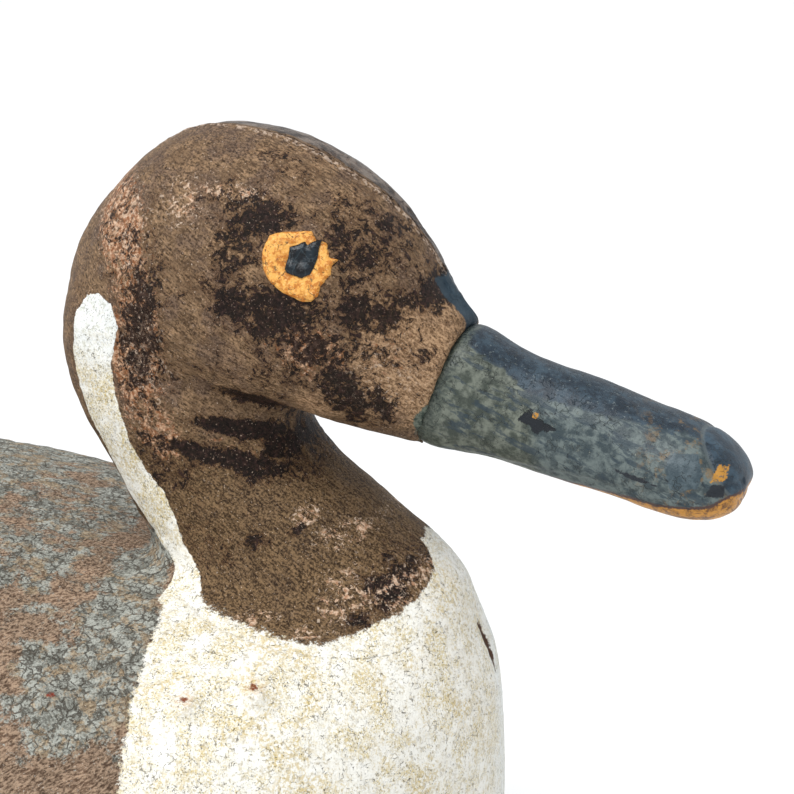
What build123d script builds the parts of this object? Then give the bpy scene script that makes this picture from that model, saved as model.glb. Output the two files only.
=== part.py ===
from build123d import *
import math
import os

# A working pintail drake decoy: a hollow two-piece wooden hull, a laminated head on a
# long neck, an inset bill, a let-in tail sprig, and a ballasted keel with a line ring.
# Millimetres. +X points to the bill, +Y to the bird's left, +Z up. z = 0 is the surface
# that the keel stands on, and x = 0 lies under the middle of the bird's length.

# ------------------------------------------------------------------ hull
HULL_FRONT = 163.0          # x = 0 to the breast
HULL_REAR = 165.0           # x = 0 to the end of the tail block
HULL_WIDTH = 166.0
UPPER_DEPTH = 52.0          # seam to the top of the breast
LOWER_DEPTH = 48.0          # planed bottom to the seam
BACK_RISE = 9.5             # how far the back stands above the breast
TAIL_DEPTH = 26.0           # seam to the top of the tail block
PLANED = 2.2                # depth planed off the bottom to make a flat for the keel
UPPER_FULLNESS = 2.4        # 2 gives an ellipse, and more is squarer
LOWER_FULLNESS = 2.9
HULL_WALL = 15.0
CAVITY_FRONT = 78.0
CAVITY_REAR = 116.0
SEAM_GAP = 0.5              # thickness of the caulk between the halves

# ------------------------------------------------------------------ keel and ballast
KEEL_HEIGHT = 22.0
KEEL_THICKNESS = 24.0
KEEL_RAKE = 16.0            # how far each end slopes in from top to bottom
BALLAST_LENGTH = 84.0
BALLAST_WIDTH = 13.0
BALLAST_DEPTH = 11.0
BALLAST_CENTRE = -18.0
BALLAST_RECESS = 0.6        # the lead lies this far inside the keel's underside
KEEL_EDGE = 1.5             # rounding of the keel's lower edges

# ------------------------------------------------------------------ head and neck
HEAD_HEIGHT = 93.0          # neck's seat to the crown
HEAD_WIDTH = 47.0
NECK_INLET = 8.0            # depth of the neck's seat below the top of the breast
NECK_SETBACK = 32.5         # breast to the middle of the neck's foot

# ------------------------------------------------------------------ bill, eyes, tail
PIN_DIAMETER = 6.0
PIN_LENGTH = 34.0
EYE_DIAMETER = 6.8          # head of the tack
EYE_THICKNESS = 1.6
EYE_PROUD = 0.7             # how far the tack's head stands out of the wood
EYE_SHANK = 1.8
EYE_SHANK_LENGTH = 12.0
EYE_ROUNDING = 0.55
SPRIG_LENGTH = 77.5
SPRIG_LET_IN = 31.0
SPRIG_WIDTH = 18.0
SPRIG_TIP_WIDTH = 7.0
SPRIG_THICKNESS = 8.0
SPRIG_RISE = 10.0           # degrees that the sprig slopes up towards its tip
SPRIG_SHOULDER = 6.0        # it keeps its full width this far outside the slot
SPRIG_CORNER = 2.5
SPRIG_SHAVED = 7.0          # its top is shaved thinner from here to its tip
SHAVING_DEPTH = 2.5
SHAVING_SLOPE = 3.0         # degrees
PEG_DIAMETER = 4.0
PEG_LENGTH = 17.0

# ------------------------------------------------------------------ fastenings
DOWEL_DIAMETER = 8.0
DOWEL_IN_NECK = 14.0
DOWEL_IN_HULL = 20.0
DOWEL_AHEAD = 5.0           # ahead of the middle of the neck's foot
LAG_DIAMETER = 6.0
LAG_IN_NECK = 34.0
LAG_BACK = 20.0             # behind the middle of the neck's foot
LAG_HEAD = 10.0             # across the flats of its hexagonal head
LAG_HEAD_HEIGHT = 4.5
WASHER_DIAMETER = 18.0
WASHER_THICKNESS = 1.6
WASHER_ROOM = 0.4           # how much wider the washer's hole is than the screw
LAG_TIP_RADIUS = 0.6
COUNTERBORE_DEPTH = 18.0
SOCKET_ROOM = 1.0           # room round a washer in its counterbore
NAIL_DIAMETER = 2.6
NAIL_LENGTH = 58.0
NAIL_HEAD = 5.0
NAIL_HEAD_THICKNESS = 1.2
NAIL_LEAN = 22.0            # degrees that the seam nails lean inwards as they go down
NAIL_SUNK = 0.9
NAIL_TIP_RADIUS = 0.3
# Each pair of nails: share of the hull's front or rear, then share of its half width.
NAIL_STATIONS = ((0.80, 0.72), (0.735, 0.75), (0.595, 0.745), (-0.82, 0.72))
SCREW_DIAMETER = 4.5
SCREW_HEAD = 9.0
SCREW_HEAD_HEIGHT = 3.0
SCREW_SUNK = 5.0            # screw heads lie this deep in the keel
SCREW_IN_HULL = 11.0
BALLAST_SCREW_DIAMETER = 3.5
BALLAST_SCREW_HEAD = 7.0
BALLAST_SCREW_HEAD_HEIGHT = 2.4
BALLAST_SCREW_SUNK = 0.6    # screw heads lie this deep in the lead
BALLAST_SCREW_COVER = 3.4   # wood left in the keel above the screws' tips

# ------------------------------------------------------------------ line eye and ring
LINE_EYE_SETBACK = 43.0     # breast to the screw eye
EYE_LOOP_RADIUS = 4.6       # to the middle of the wire
EYE_WIRE = 2.4
EYE_DROP = 6.8              # hull to the middle of the loop
EYE_SCREW_DIAMETER = 3.0
EYE_SCREW_LENGTH = 14.0
RING_RADIUS = 7.2           # to the middle of the wire
RING_WIRE = 2.4
RING_PLAY = 0.15

FIT = 0.05                  # radial room round pins, shanks and let-in pieces
OPEN_END = 12.0             # how far an open bore or slot is cut past the surface

# ------------------------------------------------------------------ worked-out places
BOTTOM_Z = KEEL_HEIGHT
SEAM_Z = BOTTOM_Z + LOWER_DEPTH
BREAST_TOP_Z = SEAM_Z + UPPER_DEPTH
SEAT_Z = BREAST_TOP_Z - NECK_INLET
NECK_X = HULL_FRONT - NECK_SETBACK
KEEL_FRONT = 0.53 * HULL_FRONT
KEEL_REAR = 0.57 * HULL_REAR
KEEL_SCREW_X = (-0.8 * KEEL_REAR, 0.45 * KEEL_FRONT, 0.72 * KEEL_FRONT)
BALLAST_SCREW_X = (BALLAST_CENTRE - 0.33 * BALLAST_LENGTH, BALLAST_CENTRE + 0.33 * BALLAST_LENGTH)
LINE_EYE_X = HULL_FRONT - LINE_EYE_SETBACK
LAG_X = NECK_X - LAG_BACK
LAG_SEAT_Z = SEAM_Z + COUNTERBORE_DEPTH     # top of the counterbore
PEG_X = -HULL_REAR + 0.5 * SPRIG_LET_IN

# The head's carving pattern, drawn for a head of these sizes and scaled to HEAD_HEIGHT
# and HEAD_WIDTH. Heights are above the seat, and lengths are ahead of the foot's middle.
PATTERN_HEIGHT = 93.0
PATTERN_WIDTH = 47.0
# One row for each level of the neck: height, throat side, nape side, half width.
NECK_PATTERN = (
    (0.0, 27.5, -29.5, 25.8),
    (3.5, 27.0, -32.0, 23.6),
    (7.5, 25.5, -34.8, 21.8),
    (12.0, 20.5, -38.0, 20.0),
    (18.0, 12.3, -41.8, 18.8),
    (25.0, 2.6, -45.4, 18.2),
    (32.0, -4.5, -49.5, 18.3),
    (38.0, -6.8, -52.6, 18.8),
    (44.0, -6.5, -54.6, 19.4),
    (51.0, -9.0, -55.2, 20.0),
    (59.0, -13.0, -53.8, 19.4),
    (67.0, -19.0, -50.2, 16.5),
    (73.0, -25.0, -45.0, 12.0),
)
# One row for each cut square to the head's axis: distance along the axis, low and high
# side, half width, and how much narrower the cut is towards the crown.
HEAD_AXIS_START = (-18.5, 64.0)
HEAD_AXIS_SLOPE = 18.0      # degrees below level
HEAD_PATTERN = (
    (-32.5, -15.0, -3.5, 5.0, 0.00),
    (-30.5, -20.5, 2.6, 9.5, 0.00),
    (-26.0, -23.5, 12.2, 14.5, 0.03),
    (-19.5, -24.5, 21.2, 19.0, 0.07),
    (-9.5, -25.0, 26.9, 22.5, 0.10),
    (2.0, -24.0, 29.0, 23.5, 0.12),
    (14.0, -20.8, 27.6, 23.2, 0.12),
    (25.0, -18.8, 23.4, 20.8, 0.12),
    (34.0, -18.2, 17.2, 17.2, 0.10),
    (40.5, -17.2, 11.6, 14.3, 0.07),
    (45.5, -16.6, 8.8, 12.3, 0.04),
)
# The bill's pattern: a point on its underside and one on its top, and the half width.
# The first row lies inside the face, in the recess that the bill is let into.
BILL_PATTERN = (
    ((18.0, 35.6), (25.2, 55.9), 10.6),
    ((28.3, 33.2), (35.3, 53.7), 9.9),
    ((40.9, 31.0), (47.2, 49.8), 9.8),
    ((53.5, 28.6), (58.5, 46.2), 10.5),
    ((64.0, 26.3), (69.0, 42.8), 11.6),
    ((71.0, 25.6), (75.3, 39.6), 11.2),
    ((76.0, 26.8), (78.6, 36.0), 8.6),
    ((78.6, 29.6), (79.7, 33.4), 4.0),
)
PIN_PLACE = (22.5, 45.5)    # where the bill's pin crosses the face
PIN_SLOPE = 14.0            # degrees below level
EYE_PLACE = (1.4, 70.7)


def on_pattern(point):
    """A point of the head's pattern as x and z."""
    scale = HEAD_HEIGHT / PATTERN_HEIGHT
    return NECK_X + scale * point[0], SEAT_Z + scale * point[1]


# ------------------------------------------------------------------ hull
def half_width(x):
    """Half the hull's width at the seam."""
    if x >= 0:
        return HULL_WIDTH / 2 * max(0.0, 1 - (x / HULL_FRONT) ** 2.6) ** 0.5
    return HULL_WIDTH / 2 * (1 - (-x / (1.04 * HULL_REAR)) ** 1.9) ** 0.8


def back_height(x):
    """Height of the back above the seam."""
    if x >= 0:
        nose = max(0.0, 1 - (x / HULL_FRONT) ** 18) ** 0.25
        hump = max(0.0, math.cos(math.pi / 2 * min(1.0, x / (0.62 * HULL_FRONT)))) ** 1.2
        return UPPER_DEPTH * nose + BACK_RISE * hump
    fall = math.cos(math.pi / 2 * (-x / HULL_REAR) ** 1.5)
    return TAIL_DEPTH + (UPPER_DEPTH + BACK_RISE - TAIL_DEPTH) * fall


def belly_depth(x):
    """Depth of the belly below the seam, before the bottom is planed."""
    depth = LOWER_DEPTH + PLANED
    if x >= 0:
        return depth * max(0.0, 1 - (x / HULL_FRONT) ** 5) ** 0.77
    return depth * (1 - 0.93 * (-x / HULL_REAR) ** 6)


def rounded(width, up, down, steps=24):
    """Points round a section that is fuller below than above its widest line."""
    points = []
    for k in range(steps):
        angle = math.pi * (2 * k / steps - 0.5)
        c, s = math.cos(angle), math.sin(angle)
        height, fullness = (up, UPPER_FULLNESS) if s >= 0 else (down, LOWER_FULLNESS)
        across = math.copysign(abs(c) ** (2 / fullness), c)
        rise = math.copysign(abs(s) ** (2 / fullness), s)
        points.append((width * across, height * rise))
    return points


def hull_section(x, inset=0.0, share=1.0):
    """The hull's section at x, drawn in by an inset and then to a share of its size."""
    width = (half_width(x) - inset) * share
    up = (back_height(x) - inset) * share
    down = (belly_depth(x) - inset) * share
    outline = Spline(rounded(width, up, down), periodic=True)
    return Plane(origin=(x, 0, SEAM_Z), x_dir=(0, 1, 0), z_dir=(1, 0, 0)) * make_face(Wire([outline]))


def hull_blank():
    """The whole hollow hull before it is cut along the seam."""
    shares = (-1.0, -0.9, -0.76, -0.56, -0.3)
    stations = [HULL_REAR * s for s in shares]
    shares = (0.0, 0.26, 0.46, 0.62, 0.75, 0.85, 0.92, 0.962, 0.986, 0.9985)
    stations += [HULL_FRONT * s for s in shares]
    outside = loft([hull_section(x) for x in stations])
    length = CAVITY_FRONT + CAVITY_REAR
    rows = ((0.0, 0.7), (0.07, 0.9), (0.26, 1.0), (0.5, 1.0), (0.74, 1.0), (0.93, 0.9), (1.0, 0.7))
    inside = loft([hull_section(length * s - CAVITY_REAR, HULL_WALL, share) for s, share in rows])
    under = Pos(0, 0, BOTTOM_Z - LOWER_DEPTH) * Box(
        4 * HULL_REAR, 2 * HULL_WIDTH, LOWER_DEPTH, align=(Align.CENTER, Align.CENTER, Align.MIN)
    )
    return outside - inside - under


def layer(low, high):
    """A slab between two heights, bigger than the bird."""
    return Pos(0, 0, low) * Box(
        5 * HULL_REAR, 3 * HULL_WIDTH, high - low, align=(Align.CENTER, Align.CENTER, Align.MIN)
    )


# ------------------------------------------------------------------ head and bill
def cut_through(first, second, half, narrowing, room=0.0, fullness=2.25, steps=16):
    """A rounded face standing across the bird between two points of its middle plane."""
    dx, dz = second[0] - first[0], second[1] - first[1]
    reach = math.hypot(dx, dz) / 2 + room
    plane = Plane(
        origin=((first[0] + second[0]) / 2, 0, (first[1] + second[1]) / 2),
        x_dir=(0, 1, 0),
        z_dir=(dz, 0, -dx),
    )
    points = []
    for k in range(steps):
        angle = math.pi * (2 * k / steps - 0.5)
        c, s = math.cos(angle), math.sin(angle)
        across = math.copysign(abs(c) ** (2 / fullness), c)
        along = math.copysign(abs(s) ** (2 / fullness), s)
        points.append(((half + room) * across * (1 - narrowing * along), reach * along))
    return plane * make_face(Wire([Spline(points, periodic=True)]))


def neck_shape(room=0.0):
    widen = HEAD_WIDTH / PATTERN_WIDTH
    cuts = []
    for height, throat, nape, half in NECK_PATTERN:
        ends = on_pattern((throat, height)), on_pattern((nape, height))
        cuts.append(cut_through(*ends, half * widen, 0.0, room))
    return loft(cuts)


def head_shape():
    widen = HEAD_WIDTH / PATTERN_WIDTH
    slope = math.radians(HEAD_AXIS_SLOPE)
    c, s = math.cos(slope), math.sin(slope)
    cuts = []
    for along, low, high, half, narrowing in HEAD_PATTERN:
        x, z = HEAD_AXIS_START[0] + along * c, HEAD_AXIS_START[1] - along * s
        ends = [on_pattern((x + square * s, z + square * c)) for square in (low, high)]
        cuts.append(cut_through(*ends, half * widen, narrowing))
    return loft(cuts)


def bill_shape(room=0.0):
    widen = HEAD_WIDTH / PATTERN_WIDTH
    cuts = []
    for low, high, half in BILL_PATTERN:
        cuts.append(cut_through(on_pattern(low), on_pattern(high), half * widen, 0.1, room))
    return loft(cuts)


# ------------------------------------------------------------------ small pieces
def rod(place, direction, diameter, length):
    """A round bar that starts at a place and runs in a direction."""
    plane = Plane(origin=place, z_dir=direction)
    return plane * Cylinder(diameter / 2, length, align=(Align.CENTER, Align.CENTER, Align.MIN))


def up_rod(x, low, high, diameter):
    return rod((x, 0, low), (0, 0, 1), diameter, high - low)


def surface_hits(solid, place, direction):
    """Where a straight line meets a solid, with the outward normals there."""
    return solid.find_intersection_points(Axis(place, direction))


def bill_pin(room=0.0):
    slope = math.radians(PIN_SLOPE)
    x, z = on_pattern(PIN_PLACE)
    half = PIN_LENGTH / 2 + room
    start = (x - half * math.cos(slope), 0, z + half * math.sin(slope))
    direction = (math.cos(slope), 0, -math.sin(slope))
    return rod(start, direction, PIN_DIAMETER + 2 * room, 2 * half)


def dowel(room=0.0):
    low, high = SEAT_Z - DOWEL_IN_HULL - room, SEAT_Z + DOWEL_IN_NECK + room
    return up_rod(NECK_X + DOWEL_AHEAD, low, high, DOWEL_DIAMETER + 2 * room)


def lag_washer():
    ring = up_rod(LAG_X, LAG_SEAT_Z - WASHER_THICKNESS, LAG_SEAT_Z, WASHER_DIAMETER)
    low, high = LAG_SEAT_Z - 2 * WASHER_THICKNESS, LAG_SEAT_Z + WASHER_THICKNESS
    return ring - up_rod(LAG_X, low, high, LAG_DIAMETER + WASHER_ROOM)


def lag_screw():
    """A lag screw with a hexagonal head and a pointed end."""
    under = LAG_SEAT_Z - WASHER_THICKNESS
    head = extrude(RegularPolygon(LAG_HEAD / 2, 6, major_radius=False), LAG_HEAD_HEIGHT)
    head = Pos(LAG_X, 0, under - LAG_HEAD_HEIGHT) * head
    tip = SEAT_Z + LAG_IN_NECK
    shank = up_rod(LAG_X, under - 1, tip - LAG_DIAMETER, LAG_DIAMETER)
    point = Pos(LAG_X, 0, tip - LAG_DIAMETER) * Cone(
        LAG_DIAMETER / 2,
        LAG_TIP_RADIUS,
        LAG_DIAMETER,
        align=(Align.CENTER, Align.CENTER, Align.MIN),
    )
    return head + shank + point


def lag_bore():
    wide = up_rod(LAG_X, SEAM_Z - 1, LAG_SEAT_Z, WASHER_DIAMETER + 2 * SOCKET_ROOM)
    return wide + up_rod(LAG_X, LAG_SEAT_Z - 1, SEAT_Z + LAG_IN_NECK + 1, LAG_DIAMETER + 2 * FIT)


def nail_places():
    """Top centre and downward direction of every seam nail."""
    lean = math.radians(NAIL_LEAN)
    places = []
    for share, spread in NAIL_STATIONS:
        x = share * (HULL_FRONT if share > 0 else HULL_REAR)
        y = spread * half_width(x)
        z = SEAM_Z + back_height(x) * (1 - spread**UPPER_FULLNESS) ** (1 / UPPER_FULLNESS)
        for side in (-1, 1):
            down = (0, -side * math.sin(lean), -math.cos(lean))
            top = (x, side * y + NAIL_SUNK * down[1], z + NAIL_SUNK * down[2])
            places.append((top, down))
    return places


def nail(top, down):
    """A cut nail's round head, shank and tapered point."""
    head = rod(top, down, NAIL_HEAD, NAIL_HEAD_THICKNESS)
    shank = rod(top, down, NAIL_DIAMETER, NAIL_LENGTH - 2 * NAIL_DIAMETER)
    plane = Plane(origin=top, z_dir=down).offset(NAIL_LENGTH - 2 * NAIL_DIAMETER)
    point = plane * Cone(
        NAIL_DIAMETER / 2,
        NAIL_TIP_RADIUS,
        2 * NAIL_DIAMETER,
        align=(Align.CENTER, Align.CENTER, Align.MIN),
    )
    return head + shank + point


def nail_bore(top, down):
    outward = tuple(-d for d in down)
    start = tuple(p + NAIL_HEAD_THICKNESS * d for p, d in zip(top, down))
    bore = rod(start, outward, NAIL_HEAD + 4 * FIT, OPEN_END)
    return bore + rod(top, down, NAIL_DIAMETER + 2 * FIT, NAIL_LENGTH + 1)


def eye_tack(spot, normal, room=0.0):
    """A round-headed tack driven in square to the cheek."""
    inward = tuple(-n for n in normal)
    top = tuple(p + EYE_PROUD * n for p, n in zip(spot, normal))
    head = rod(top, inward, EYE_DIAMETER + 2 * room, EYE_THICKNESS + room)
    if room == 0:
        head = fillet(head.edges().sort_by(Axis(spot, normal))[-1], EYE_ROUNDING)
    return head + rod(top, inward, EYE_SHANK + 2 * room, EYE_SHANK_LENGTH + room)


def eye_line():
    """A place and direction: straight across the head through both eyes."""
    x, z = on_pattern(EYE_PLACE)
    return (x, 0, z), (0, 1, 0)


# ------------------------------------------------------------------ tail
def tail_plane():
    """At the mouth of the slot: x runs along the sprig to its tip and z square to it."""
    rise = math.radians(SPRIG_RISE)
    return Plane(
        origin=(-HULL_REAR, 0, SEAM_Z + 0.53 * TAIL_DEPTH),
        x_dir=(-math.cos(rise), 0, math.sin(rise)),
        z_dir=(math.sin(rise), 0, math.cos(rise)),
    )


def tail_sprig():
    free = SPRIG_LENGTH - SPRIG_LET_IN
    outline = Polyline(
        (-SPRIG_LET_IN, -SPRIG_WIDTH / 2),
        (SPRIG_SHOULDER, -SPRIG_WIDTH / 2),
        (free, -SPRIG_TIP_WIDTH / 2),
        (free, SPRIG_TIP_WIDTH / 2),
        (SPRIG_SHOULDER, SPRIG_WIDTH / 2),
        (-SPRIG_LET_IN, SPRIG_WIDTH / 2),
        close=True,
    )
    stick = extrude(make_face(outline), SPRIG_THICKNESS / 2, both=True)
    shaving = Pos(free, 0, SPRIG_THICKNESS / 2) * Rot(0, SHAVING_SLOPE, 0) * Box(
        2 * (free - SPRIG_SHAVED), 2 * SPRIG_WIDTH, 2 * SHAVING_DEPTH
    )
    stick = fillet(stick.edges().filter_by(Axis.Z).sort_by(Axis.X)[-4:], SPRIG_CORNER)
    stick = tail_plane() * (stick - shaving)
    return stick - peg(FIT)


def tail_slot():
    block = Pos(-SPRIG_LET_IN - FIT, 0, 0) * Box(
        SPRIG_LET_IN + OPEN_END,
        SPRIG_WIDTH + 2 * FIT,
        SPRIG_THICKNESS + 2 * FIT,
        align=(Align.MIN, Align.CENTER, Align.CENTER),
    )
    return tail_plane() * block


def peg(room=0.0):
    low = SEAM_Z + SEAM_GAP - room
    return up_rod(PEG_X, low, low + PEG_LENGTH + room, PEG_DIAMETER + 2 * room)


# ------------------------------------------------------------------ keel and ballast
def ballast_block(room=0.0):
    low = BALLAST_RECESS if room == 0 else -1.0
    return Pos(BALLAST_CENTRE, 0, low) * Box(
        BALLAST_LENGTH + 2 * room,
        BALLAST_WIDTH + 2 * room,
        BALLAST_RECESS + BALLAST_DEPTH - low,
        align=(Align.CENTER, Align.CENTER, Align.MIN),
    )


def wood_screw(x, low, head, head_height, diameter, high, room=0.0):
    """A countersunk screw pointing up, or the bore for one, when it has room."""
    cone = Pos(x, 0, low) * Cone(
        head / 2 + room,
        diameter / 2 + room,
        head_height,
        align=(Align.CENTER, Align.CENTER, Align.MIN),
    )
    shank = up_rod(x, low, high + room, diameter + 2 * room)
    if room == 0:
        return cone + shank
    return cone + shank + up_rod(x, -1, low, head + 2 * room)


def keel_screw_pieces(room=0.0):
    top = BOTTOM_Z + SCREW_IN_HULL
    return [
        wood_screw(x, SCREW_SUNK, SCREW_HEAD, SCREW_HEAD_HEIGHT, SCREW_DIAMETER, top, room)
        for x in KEEL_SCREW_X
    ]


def ballast_screw_pieces(room=0.0):
    low = BALLAST_RECESS + BALLAST_SCREW_SUNK
    top = KEEL_HEIGHT - BALLAST_SCREW_COVER
    sizes = (BALLAST_SCREW_HEAD, BALLAST_SCREW_HEAD_HEIGHT, BALLAST_SCREW_DIAMETER)
    return [wood_screw(x, low, *sizes, top, room) for x in BALLAST_SCREW_X]


def keel_board():
    outline = Polyline(
        (-KEEL_REAR, KEEL_HEIGHT),
        (-KEEL_REAR + KEEL_RAKE, 0),
        (KEEL_FRONT - KEEL_RAKE, 0),
        (KEEL_FRONT, KEEL_HEIGHT),
        close=True,
    )
    board = extrude(Plane.XZ * make_face(outline), KEEL_THICKNESS / 2, both=True)
    board = fillet(board.edges().group_by(Axis.Z)[0].filter_by(Axis.X), KEEL_EDGE)
    board -= ballast_block(FIT)
    for screw in keel_screw_pieces(FIT) + ballast_screw_pieces(FIT):
        board -= screw
    return board


# ------------------------------------------------------------------ line eye and ring
def line_eye(hull_z):
    loop = Pos(LINE_EYE_X, 0, hull_z - EYE_DROP) * Rot(90, 0, 0) * Torus(EYE_LOOP_RADIUS, EYE_WIRE / 2)
    top = hull_z - EYE_DROP + EYE_LOOP_RADIUS
    return loop + up_rod(LINE_EYE_X, top, hull_z + EYE_SCREW_LENGTH, EYE_SCREW_DIAMETER)


def ring_hinge_z(hull_z):
    """Height of the ring's wire where it rests on the lower side of the eye."""
    return hull_z - EYE_DROP - EYE_LOOP_RADIUS + (EYE_WIRE + RING_WIRE) / 2 + RING_PLAY


def line_ring(hull_z):
    centre = ring_hinge_z(hull_z) - RING_RADIUS
    return Pos(LINE_EYE_X, 0, centre) * Rot(0, 90, 0) * Torus(RING_RADIUS, RING_WIRE / 2)


# ------------------------------------------------------------------ the whole bird
def build():
    """Every piece by name, and the height of the hull over the line eye."""
    hull = hull_blank()
    lag_holes = lag_bore()
    nails = nail_places()
    for top, down in nails:
        hull -= nail_bore(top, down)
    below = surface_hits(hull, (LINE_EYE_X, 0, 0), (0, 0, 1))
    hull_z = min(point.Z for point, normal in below)

    upper = hull & layer(SEAM_Z + SEAM_GAP / 2, SEAM_Z + 4 * UPPER_DEPTH)
    upper -= neck_shape(FIT)
    upper -= dowel(FIT)
    upper -= lag_holes
    upper -= tail_slot()
    upper -= peg(FIT)
    upper -= up_rod(PEG_X, SEAM_Z - 1, SEAM_Z + 2, PEG_DIAMETER + 2 * FIT)

    lower = hull & layer(SEAM_Z - 4 * LOWER_DEPTH, SEAM_Z - SEAM_GAP / 2)
    for screw in keel_screw_pieces(FIT):
        lower -= screw
    lower -= up_rod(LINE_EYE_X, 0, hull_z + EYE_SCREW_LENGTH + FIT, EYE_SCREW_DIAMETER + 2 * FIT)
    caulk = hull & layer(SEAM_Z - SEAM_GAP / 2, SEAM_Z + SEAM_GAP / 2)

    head = neck_shape() + head_shape()
    eyes = surface_hits(head, *eye_line())
    left_eye = max(eyes, key=lambda hit: hit[0].Y)
    right_eye = min(eyes, key=lambda hit: hit[0].Y)
    for spot, normal in (left_eye, right_eye):
        head -= eye_tack(tuple(spot), tuple(normal), FIT)
    head -= bill_shape(FIT)
    head -= bill_pin(FIT)
    head -= dowel(FIT)
    head -= lag_holes
    side = Box(
        4 * HEAD_HEIGHT, 2 * HEAD_WIDTH, 4 * HEAD_HEIGHT, align=(Align.CENTER, Align.MIN, Align.CENTER)
    )

    ballast = ballast_block()
    for screw in ballast_screw_pieces(FIT):
        ballast -= screw

    return {
        "body_upper": upper,
        "body_lower": lower,
        "seam_caulk": caulk,
        "seam_nails": Compound(children=[nail(top, down) for top, down in nails]),
        "neck_dowel": dowel(),
        "neck_screw": lag_screw(),
        "neck_washer": lag_washer(),
        "head_left": head & Pos(NECK_X, 0, SEAT_Z) * side,
        "head_right": head & Pos(NECK_X, 0, SEAT_Z) * Rot(0, 0, 180) * side,
        "bill": bill_shape() - bill_pin(FIT),
        "bill_pin": bill_pin(),
        "eye_tack_left": eye_tack(tuple(left_eye[0]), tuple(left_eye[1])),
        "eye_tack_right": eye_tack(tuple(right_eye[0]), tuple(right_eye[1])),
        "tail_sprig": tail_sprig(),
        "tail_peg": peg(),
        "keel": keel_board(),
        "keel_screws": Compound(children=keel_screw_pieces()),
        "ballast_weight": ballast,
        "ballast_screws": Compound(children=ballast_screw_pieces()),
        "line_eye": line_eye(hull_z),
        "line_ring": line_ring(hull_z),
    }, hull_z


if __name__ == "__main__":
    os.makedirs("parts", exist_ok=True)
    pieces, hull_z = build()
    for name, piece in pieces.items():
        export_step(piece, f"parts/{name}.step")
    print("ring hinge at", LINE_EYE_X, 0, round(ring_hinge_z(hull_z), 3))
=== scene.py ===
import math

import bmesh
import bpy
import numpy as np
from mathutils import Matrix, Vector
from mathutils.bvhtree import BVHTree
from mathutils.geometry import delaunay_2d_cdt


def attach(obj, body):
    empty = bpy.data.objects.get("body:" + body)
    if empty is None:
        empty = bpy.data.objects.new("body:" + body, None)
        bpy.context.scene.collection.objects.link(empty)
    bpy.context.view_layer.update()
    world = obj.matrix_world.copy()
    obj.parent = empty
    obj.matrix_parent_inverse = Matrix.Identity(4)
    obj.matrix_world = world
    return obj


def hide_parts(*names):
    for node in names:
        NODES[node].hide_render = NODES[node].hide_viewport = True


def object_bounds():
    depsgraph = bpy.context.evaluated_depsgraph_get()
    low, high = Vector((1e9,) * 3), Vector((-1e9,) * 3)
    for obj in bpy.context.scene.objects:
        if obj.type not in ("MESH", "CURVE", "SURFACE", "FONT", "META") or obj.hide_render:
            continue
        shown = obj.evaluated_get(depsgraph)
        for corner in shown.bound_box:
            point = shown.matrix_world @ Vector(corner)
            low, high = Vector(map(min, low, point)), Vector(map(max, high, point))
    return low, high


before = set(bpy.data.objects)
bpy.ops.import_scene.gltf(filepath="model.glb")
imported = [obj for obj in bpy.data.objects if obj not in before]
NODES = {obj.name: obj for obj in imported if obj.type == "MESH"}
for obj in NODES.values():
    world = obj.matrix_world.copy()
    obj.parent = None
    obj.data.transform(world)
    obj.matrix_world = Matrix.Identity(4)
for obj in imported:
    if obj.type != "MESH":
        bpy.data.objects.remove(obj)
CAD_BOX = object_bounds()
MM = 0.001
SEAM_Z = 70.0
NECK = (129.5, 29.5, 31.5)      # middle, half length and half width of the neck's foot, mm
JOINT = (127.5, 30.0, 31.5)     # the same for the crack round the neck's foot
JOINT_RIM = 0.985
CARVING_VOXEL, BILL_VOXEL = 1.0, 0.42
PLUG_RADIUS, PLUG_DEPTH, PAINT_OVER_NAIL = 2.9, 4.0, 1.35
SEAM_HALF_GAP, LIP_DROP = 0.25, 0.22


# ------------------------------------------------------------------ numbers on a mesh
def lattice(ix, iy, iz, seed):
    h = (ix * 374761393 + iy * 668265263 + iz * 974634777 + seed * 362437) & 0xFFFFFFFF
    h = ((h ^ (h >> 13)) * 1274126177) & 0xFFFFFFFF
    return ((h ^ (h >> 16)) & 0xFFFF) / 32767.5 - 1.0


def wave(p, size, seed=0):
    """Smooth noise from -1 to 1 with bumps of about `size` mm."""
    q = p / size
    i = np.floor(q).astype(np.int64)
    f = q - i
    f = f * f * (3 - 2 * f)
    out = np.zeros(len(p))
    for dx in (0, 1):
        wx = f[:, 0] if dx else 1 - f[:, 0]
        for dy in (0, 1):
            wy = f[:, 1] if dy else 1 - f[:, 1]
            for dz in (0, 1):
                wz = f[:, 2] if dz else 1 - f[:, 2]
                out += wx * wy * wz * lattice(i[:, 0] + dx, i[:, 1] + dy, i[:, 2] + dz, seed)
    return out


def rough(p, size, octaves, seed=0):
    return sum(wave(p, size / 2 ** k, seed + k) / 2 ** k for k in range(octaves))


def ease(x, low, high):
    t = np.clip((x - low) / (high - low), 0, 1)
    return t * t * (3 - 2 * t)


def rim_of(x, y, ring):
    """1 on the oval `ring` (middle, half length, half width), less inside it."""
    return np.hypot((x - ring[0]) / ring[1], y / ring[2])


def inside(x, z, outline):
    """How far a point is inside (+) or outside (-) an outline drawn in side view, mm."""
    best = np.full(len(x), 1e9)
    within = np.zeros(len(x), bool)
    for (ax, az), (bx, bz) in zip(outline, outline[1:] + outline[:1]):
        ex, ez = bx - ax, bz - az
        t = np.clip(((x - ax) * ex + (z - az) * ez) / (ex * ex + ez * ez), 0, 1)
        best = np.minimum(best, np.hypot(x - ax - t * ex, z - az - t * ez))
        crosses = (az > z) != (bz > z)
        within ^= crosses & (x < ax + (z - az) * ex / (ez if abs(ez) > 1e-9 else 1e-9))
    return np.where(within, best, -best)


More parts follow.
